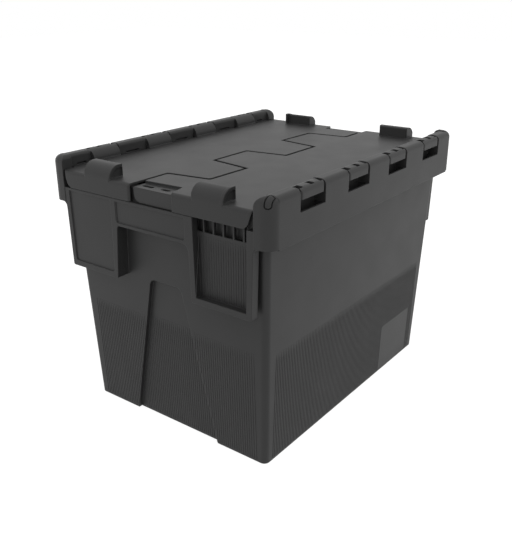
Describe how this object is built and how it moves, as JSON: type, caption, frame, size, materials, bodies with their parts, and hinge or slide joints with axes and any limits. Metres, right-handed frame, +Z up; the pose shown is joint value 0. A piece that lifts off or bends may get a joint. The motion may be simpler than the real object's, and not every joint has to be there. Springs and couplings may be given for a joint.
{
  "type": "lidded storage container",
  "caption": "Tapered plastic storage container with two interlocking lid halves hinged on steel rods over its long sides.",
  "frame": {"origin": "centre of the foot, on the floor", "axes": "+X along the length and the hinge rods, +Y across the width from the front long side to the rear one, +Z up"},
  "size_m": [0.4, 0.305, 0.306],
  "materials": {
    "body_plastic": "fine matt",
    "lid_plastic": "fine matt",
    "clip_plastic": "fine matt",
    "rod_steel": "drawn bar"
  },
  "bodies": {
    "root": {"container_body": "body_plastic", "hinge_rod_front": "rod_steel", "hinge_rod_rear": "rod_steel", "rod_clip_front": "clip_plastic", "rod_clip_rear": "clip_plastic"},
    "lid_front": {"lid_front": "lid_plastic"},
    "lid_rear": {"lid_rear": "lid_plastic"}
  },
  "joints": [
    {"name": "lid_front_hinge", "type": "hinge", "parent": "root", "child": "lid_front", "pos_m": [0, -0.1458, 0.2997], "axis": [1, 0, 0], "range_deg": [0, 270]},
    {"name": "lid_rear_hinge", "type": "hinge", "parent": "root", "child": "lid_rear", "pos_m": [0, 0.1458, 0.2997], "axis": [-1, 0, 0], "range_deg": [0, 270]}
  ]
}
